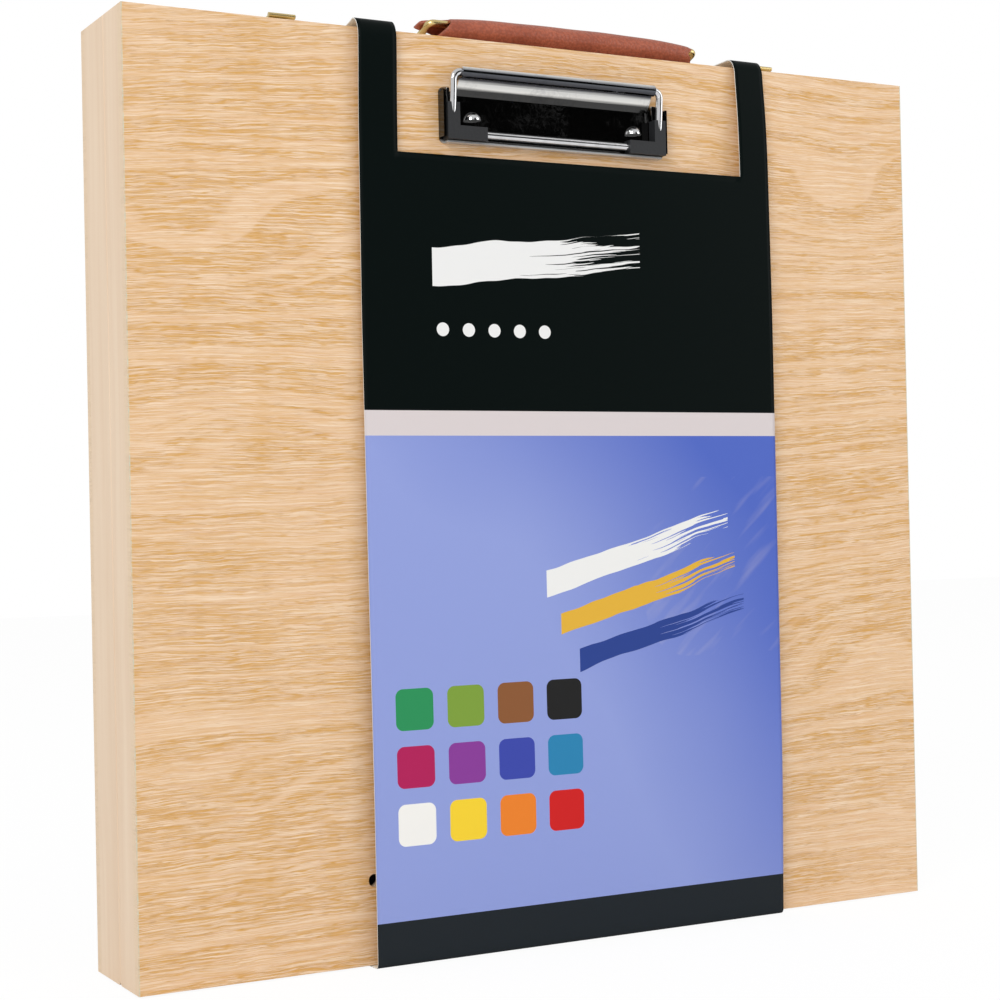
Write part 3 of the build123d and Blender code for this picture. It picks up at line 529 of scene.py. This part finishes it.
def sleeveMaterial():
    material, tree, shader = startMaterial("sleevePrint")
    q = sleevePrint
    point = objectPoint(tree)
    x, y, z = splitAxes(tree, point)
    # the blue is deepest at the upper right and palest at the lower left
    depth = calc(tree, "MULTIPLY_ADD", x, q["blueRight"], q["blueStart"])
    depth = calc(tree, "MULTIPLY_ADD", z, q["blueUp"], depth)
    depth = calc(tree, "MULTIPLY_ADD", noise(tree, point, 9.0, 1.0), q["blueCloud"], depth)
    shade = ramp(tree, depth, [(0.60, q["blueLight"]), (1.04, q["blueDeep"])])
    # painted sheen: a few pale lines slant across the blue near its right edge, where the card is crumpled
    crumpleSheen = stretchedNoise(tree, calc(tree, "MULTIPLY_ADD", z, 0.8, x),
                          calc(tree, "MULTIPLY_ADD", x, -0.9, z), q["crumple"])
    near = calc(tree, "MULTIPLY", calc(tree, "GREATER_THAN", x, q["crumpleFrom"]),
                boxMask(tree, x, z, q["crumpleCentre"], q["crumpleHalf"], q["crumpleCorner"]))
    crumpleSheen = calc(tree, "MULTIPLY", ramp(tree, crumpleSheen, [(0.52, grey(0.0)), (0.72, grey(0.18))]), near)
    shade = blendColour(tree, crumpleSheen, shade, q["silver"])
    # strokes, chips and dots are on the front only
    front = calc(tree, "LESS_THAN", y, 0.0)
    for start, length, slope, thick, ink in q["strokes"]:
        stroke = calc(tree, "MULTIPLY", strokeMask(tree, point, x, z, start, length, slope, thick), front)
        shade = blendColour(tree, stroke, shade, ink)
    chipMask, chipShade = chipColours(tree, x, z)
    shade = blendColour(tree, calc(tree, "MULTIPLY", chipMask, front), shade, chipShade)
    shade = blendColour(tree, calc(tree, "GREATER_THAN", z, q["slateTop"]), q["slate"], shade)
    shade = blendColour(tree, calc(tree, "GREATER_THAN", z, q["blueTop"]), shade, q["silver"])
    shade = blendColour(tree, calc(tree, "GREATER_THAN", z, q["silverTop"]), shade, q["black"])
    chalk = strokeMask(tree, point, x, z, *q["chalkStroke"])
    startX, startZ = q["dotStart"]
    for step in range(q["dotCount"]):
        centre = (startX + q["dotPitch"] * step, startZ)
        chalk = calc(tree, "MAXIMUM", chalk, roundMask(tree, x, z, centre, q["dotRadius"]))
    shade = blendColour(tree, calc(tree, "MULTIPLY", chalk, front), shade, q["chalk"])
    feed(tree, shader.inputs["Base Color"], shade)
    shader.inputs["Roughness"].default_value = q["roughness"]
    shader.inputs["Specular IOR Level"].default_value = q["gloss"]
    addBump(tree, shader, noise(tree, point, q["bumpScale"], 2.0), q["bump"], q["bumpDepth"])
    return material


sleeveShape = {
    "left": -0.0853, "right": 0.0995,
    "windowLeft": -0.0695, "windowRight": 0.0855, "windowFoot": 0.3045,
    "top": 0.3506, "headZ": 0.3470,
    "hingeY": -0.0045, "backY": 0.0242, "underZ": 0.0002,
    "footDepth": 0.0018, "footRise": 0.0020, "bendDepth": 0.0050,
    "lift": 0.0008, "frontRise": 0.0026,
    "thick": 0.0004,
    # mesh columns left of, across and right of the window; face rows below and beside it; other rows
    "columns": (9, 60, 9), "faceRows": (110, 26),
    "underRows": 12, "turnRows": 7, "bendRows": 10, "topRows": 36,
    # how far the card's face stands in front, at a few heights, along its left and right edges
    "standLeft": ((0.0, 0.0294), (0.06, 0.0292), (0.18, 0.0272), (0.24, 0.0262), (0.32, 0.0268),
                  (0.345, 0.0280)),
    "standRight": ((0.0, 0.0288), (0.06, 0.0303), (0.25, 0.0300), (0.317, 0.0290), (0.338, 0.0277),
                   (0.348, 0.0262)),
}


def smoothStand(table, height):
    # straight lines between the heights, then a running mean over 41 samples to round the joints
    window = 41
    samples = np.linspace(-0.05, 0.40, 901)
    heights, stands = zip(*table)
    raw = np.interp(samples, heights, stands)
    kernel = np.ones(window) / window
    padded = np.pad(raw, window // 2, mode="edge")
    return np.interp(height, samples, np.convolve(padded, kernel, mode="valid"))


def frontY(height, share):
    # the face's y is minus a blend, by the share of the width, of its left and right stands
    q = sleeveShape
    return -(smoothStand(q["standLeft"], height) * (1 - share) +
             smoothStand(q["standRight"], height) * share)


def buildSleeve(materials):
    # rows run along the band: from the hinge line under the case, round the lower edge, up the face
    # and over the top; columns run across it
    q = sleeveShape
    edges = (q["left"], q["windowLeft"], q["windowRight"], q["right"])
    columns = np.unique(np.concatenate([np.linspace(low, high, count) for low, high, count in
                                        zip(edges[:-1], edges[1:], q["columns"])]))
    lowRows, highRows = q["faceRows"]
    faceFoot = q["underZ"] + q["footRise"]
    faceHeights = np.unique(np.concatenate([np.linspace(faceFoot, q["windowFoot"], lowRows),
                                            np.linspace(q["windowFoot"], q["headZ"], highRows)]))
    share = (columns - q["left"]) / (q["right"] - q["left"])
    foot = frontY(0.0, share)
    head = frontY(q["headZ"], share)
    under = np.linspace(0.0, 1.0, q["underRows"])[:, None]
    underY = q["hingeY"] + (foot[None, :] + q["footDepth"] - q["hingeY"]) * under
    underZ = np.full_like(underY, q["underZ"])
    # the lower edge and the upper bend are quarter ellipses
    turn = np.linspace(0.0, math.pi / 2, q["turnRows"])[1:-1, None]
    turnY = foot[None, :] + q["footDepth"] - q["footDepth"] * np.sin(turn)
    turnZ = q["underZ"] + q["footRise"] * (1 - np.cos(turn)) + 0 * turnY
    faceY = frontY(faceHeights[:, None], share)
    faceZ = np.repeat(faceHeights[:, None], len(columns), axis=1)
    bend = np.linspace(0.0, math.pi / 2, q["bendRows"])[1:-1, None]
    bendY = head[None, :] + q["bendDepth"] * (1 - np.cos(bend))
    bendZ = q["headZ"] + (q["top"] + q["lift"] + q["frontRise"] - q["headZ"]) * np.sin(bend) + 0 * bendY
    run = np.linspace(0.0, 1.0, q["topRows"])[:, None]
    startY = head[None, :] + q["bendDepth"]
    topY = startY + (q["backY"] - startY) * run
    # over the top the left strap sinks at once, exp(-7 run), and the right one stays arched, 1 - run^2
    fall = (1 - share) * np.exp(-7 * run) + share * (1 - run ** 2)
    topZ = q["top"] + q["lift"] + q["frontRise"] * fall
    ys = np.concatenate([underY, turnY, faceY, bendY, topY])
    zs = np.concatenate([underZ, turnZ, faceZ, bendZ, topZ])
    xs = np.repeat(columns[None, :], len(ys), axis=0)
    # faces inside the window are left out, and then the points that no face uses
    rows, cols = xs.shape
    index = np.arange(rows * cols).reshape(rows, cols)
    quads = np.stack([index[:-1, :-1], index[:-1, 1:], index[1:, 1:], index[1:, :-1]], axis=-1)
    midX = (xs[:-1, :-1] + xs[:-1, 1:]) / 2
    rowIndex = np.arange(rows - 1)[:, None] + 0 * midX
    windowRow = len(underY) + len(turnY) + int(np.argmin(np.abs(faceHeights - q["windowFoot"])))
    inWindow = (midX > q["windowLeft"]) & (midX < q["windowRight"]) & (rowIndex >= windowRow)
    keep = quads[~inWindow].reshape(-1, 4)
    used = np.unique(keep)
    renumber = np.full(rows * cols, -1)
    renumber[used] = np.arange(len(used))
    points = np.stack([xs, ys, zs], axis=-1).reshape(-1, 3)[used]
    sleeve = placeMesh("sleeveBand", points.tolist(), renumber[keep].tolist(), materials, smooth=True)
    shell = sleeve.modifiers.new("cardThickness", "SOLIDIFY")
    shell.thickness = q["thick"]
    shell.offset = 0.0
    shell.material_offset = 1
    shell.material_offset_rim = 2
    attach(sleeve, "lid")
    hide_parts("sleeve_front")


printed = sleeveMaterial()
cardReverse = plainMaterial("cardReverse", sleevePrint["reverse"], 0.8, vary=0.04)
cardEdge = plainMaterial("cardEdge", sleevePrint["cutEdge"], 0.8, vary=0.03)
dress(printed, "sleeve_back")
buildSleeve((printed, cardReverse, cardEdge))
print("sleeve built")


# the rolled leather grip

leather = {
    "base": (0.415, 0.104, 0.050, 1.0),
    "dark": (0.310, 0.068, 0.031, 1.0),
    "pore": (0.180, 0.038, 0.017, 1.0),
    "roughness": 0.44,
    "cloudScale": 70.0, "cellScale": 900.0, "grainScale": 420.0, "grainShare": 0.8,
    "bump": 0.40, "bumpDepth": 0.0005,
}


def leatherMaterial():
    material, tree, shader = startMaterial("gripLeather")
    point = objectPoint(tree)
    cloud = noise(tree, point, leather["cloudScale"], 3.0)
    hide = ramp(tree, cloud, [(0.3, leather["dark"]), (0.62, leather["base"])])
    cells = addNode(tree, "ShaderNodeTexVoronoi", {"Vector": point, "Scale": leather["cellScale"]})
    grain = calc(tree, "MULTIPLY_ADD", noise(tree, point, leather["grainScale"], 3.0),
                 leather["grainShare"], cells.outputs[0])
    creaseMask = ramp(tree, grain, [(0.88, grey(0.0)), (1.08, grey(0.35))])
    feed(tree, shader.inputs["Base Color"], blendColour(tree, creaseMask, hide, leather["pore"]))
    shader.inputs["Roughness"].default_value = leather["roughness"]
    addBump(tree, shader, calc(tree, "MULTIPLY", grain, -1.0), leather["bump"], leather["bumpDepth"])
    return material


gripShape = {
    "left": -0.0400, "right": 0.0755,
    "centreY": -0.0060, "centreZ": 0.3582,
    "halfDepth": 0.0090, "halfHeight": 0.0053,
    "wall": 0.0014,
    "droop": 0.0008,
    "endTaper": 0.12, "depthTaper": 0.16, "endPower": 3.2,
    "pinch": 0.018,
    "slant": 0.0035,
    "leftLap": 0.0100, "rightCut": 0.0040,
    "lengthSteps": 121, "roundSteps": 72,
}


def smoothStep(value, low, high):
    part = np.clip((value - low) / (high - low), 0.0, 1.0)
    return part * part * (3 - 2 * part)


def buildGrip():
    # a rolled strip: a flattened oval carried along x, slimmer and lower towards both open ends
    q = gripShape
    along = np.linspace(0.0, 1.0, q["lengthSteps"])[:, None]
    around = np.linspace(0.0, 2 * math.pi, q["roundSteps"], endpoint=False)[None, :]
    ends = np.abs(2 * along - 1) ** q["endPower"]
    centreZ = q["centreZ"] - q["droop"] * ends
    depth = q["halfDepth"] * (1 - q["depthTaper"] * ends)
    height = q["halfHeight"] * (1 - q["endTaper"] * ends)
    # soft dents: a wave along the grip times two lobes round it that turn as they go
    pinch = 1 + q["pinch"] * np.sin(19.0 * along + 2.0 * np.cos(around)) * np.cos(2 * around + 9.0 * along)
    # at the left end the upper back edge laps out over the wire, at the right end the front edge is cut back
    upper, rear = np.sin(around), np.cos(around)
    lap = q["leftLap"] * smoothStep(upper, 0.0, 0.5) * smoothStep(rear, -0.1, 0.5) * (1 - along) ** 12
    cut = q["rightCut"] * smoothStep(-rear, 0.1, 0.7) * smoothStep(-upper, -0.5, 0.1) * along ** 12
    # both ends slant: the upper edge moves inwards, the lower one outwards
    slantX = q["slant"] * np.sin(around) * (1 - 2 * along) * np.abs(2 * along - 1) ** 8

    def ring(inset):
        ys = q["centreY"] + (depth - inset) * np.cos(around) * pinch
        zs = centreZ + (height - inset) * np.sin(around) * pinch
        xs = q["left"] + (q["right"] - q["left"]) * along + slantX - lap - cut + 0 * ys
        return np.stack([xs, ys, zs], axis=-1)

    loop = np.concatenate([ring(0.0), ring(q["wall"])[::-1]])
    rows, cols = loop.shape[:2]
    index = np.arange(rows * cols).reshape(rows, cols)
    nextRow = np.roll(index, -1, axis=0)
    nextCol = np.roll(index, -1, axis=1)
    quads = np.stack([index, nextCol, np.roll(nextRow, -1, axis=1), nextRow], axis=-1).reshape(-1, 4)
    grip = placeMesh("leatherGrip", loop.reshape(-1, 3).tolist(), quads.tolist(), [leatherMaterial()],
                     smooth=True)
    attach(grip, "handle")
    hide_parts("handle_grip")


buildGrip()
print("grip built")


# floor, light and camera

studio = {
    "floorSize": 6.0,
    "floorShade": 0.92, "floorRoughness": 0.9,
    "floorGlow": 1.02, "floorGlowShare": 0.90,
    "worldLevel": 0.70, "worldSeen": 1.0,
    "flagShade": 0.01,
    "flagLeft": (0.2, -3.6), "flagRight": (2.9, -2.2), "flagFoot": 0.02, "flagHead": 2.20,
    "lampTarget": (0.0, 0.0, 0.18),
    # name, place, size, power
    "lamps": (("keyLamp", (-1.5, -1.4, 1.3), 0.9, 19.0), ("fillLamp", (1.6, -1.2, 0.8), 1.2, 8.0)),
}


def buildFloor():
    # to the camera the floor is mostly a plain glow, so that it runs into the pale background
    material, tree, shader = startMaterial("floorWhite")
    shader.inputs["Base Color"].default_value = grey(studio["floorShade"])
    shader.inputs["Roughness"].default_value = studio["floorRoughness"]
    glow = addNode(tree, "ShaderNodeEmission", {"Color": grey(1.0), "Strength": studio["floorGlow"]})
    path = addNode(tree, "ShaderNodeLightPath")
    mixed = addNode(tree, "ShaderNodeMixShader")
    share = calc(tree, "MULTIPLY", path.outputs["Is Camera Ray"], studio["floorGlowShare"])
    feed(tree, mixed.inputs[0], share)
    tree.links.new(shader.outputs[0], mixed.inputs[1])
    tree.links.new(glow.outputs[0], mixed.inputs[2])
    tree.links.new(mixed.outputs[0], tree.nodes["Material Output"].inputs["Surface"])
    half = studio["floorSize"] / 2
    corners = [(-half, -half, 0), (half, -half, 0), (half, half, 0), (-half, half, 0)]
    floor = placeMesh("paleFloor", corners, [(0, 1, 2, 3)], [material])


def buildWorld():
    world = bpy.data.worlds.new("studioWorld")
    world.use_nodes = True
    bpy.context.scene.world = world
    tree = world.node_tree
    back = tree.nodes["Background"]
    back.inputs["Color"].default_value = grey(1.0)
    path = addNode(tree, "ShaderNodeLightPath")
    level = addNode(tree, "ShaderNodeMix", data_type="FLOAT")
    feed(tree, level.inputs[0], path.outputs["Is Camera Ray"])
    feed(tree, level.inputs[2], studio["worldLevel"])
    feed(tree, level.inputs[3], studio["worldSeen"])
    tree.links.new(level.outputs[0], back.inputs["Strength"])


def addLamp(name, place, size, power):
    data = bpy.data.lights.new(name, "AREA")
    data.shape = "SQUARE"
    data.size = size
    data.energy = power
    lamp = bpy.data.objects.new(name, data)
    lamp.location = place
    lamp.rotation_mode = "QUATERNION"
    lamp.rotation_quaternion = (Vector(studio["lampTarget"]) - Vector(place)).to_track_quat("-Z", "Y")
    bpy.context.scene.collection.objects.link(lamp)


def buildFlag():
    # a dark card out in front to the right, seen only in reflections, that gives the plated metal its
    # dark side
    material, _, shader = startMaterial("flagCloth")
    shader.inputs["Base Color"].default_value = grey(studio["flagShade"])
    shader.inputs["Roughness"].default_value = 1.0
    left, right = studio["flagLeft"], studio["flagRight"]
    foot, head = (studio["flagFoot"],), (studio["flagHead"],)
    corners = [left + foot, right + foot, right + head, left + head]
    flag = placeMesh("darkFlag", corners, [(0, 1, 2, 3)], [material])
    flag.visible_camera = False
    flag.visible_diffuse = False


buildFloor()
buildWorld()
buildFlag()
for lamp in studio["lamps"]:
    addLamp(*lamp)

view = {
    "place": (-0.39374, -0.70144, 0.16548),
    "azimuth": -28.417,
    "elevation": -0.553,
    "roll": -1.174,
    "lens": 71.74,
    "sensor": 36.0,
}


def buildCamera():
    azimuth, elevation, roll = (math.radians(view[key]) for key in ("azimuth", "elevation", "roll"))
    back = Vector((math.sin(azimuth) * math.cos(elevation), -math.cos(azimuth) * math.cos(elevation),
                   math.sin(elevation)))
    side = Vector((0, 0, 1)).cross(back).normalized()
    up = back.cross(side)
    rolledSide = side * math.cos(roll) + up * math.sin(roll)
    rolledUp = up * math.cos(roll) - side * math.sin(roll)
    data = bpy.data.cameras.new("photoCamera")
    data.lens = view["lens"]
    data.sensor_width = view["sensor"]
    data.clip_start = 0.01
    camera = bpy.data.objects.new("photoCamera", data)
    camera.matrix_world = Matrix((
        (rolledSide.x, rolledUp.x, back.x, view["place"][0]),
        (rolledSide.y, rolledUp.y, back.y, view["place"][1]),
        (rolledSide.z, rolledUp.z, back.z, view["place"][2]),
        (0, 0, 0, 1)))
    bpy.context.scene.collection.objects.link(camera)
    bpy.context.scene.camera = camera


buildCamera()
bpy.context.scene.view_settings.view_transform = "Standard"
print("stage set")
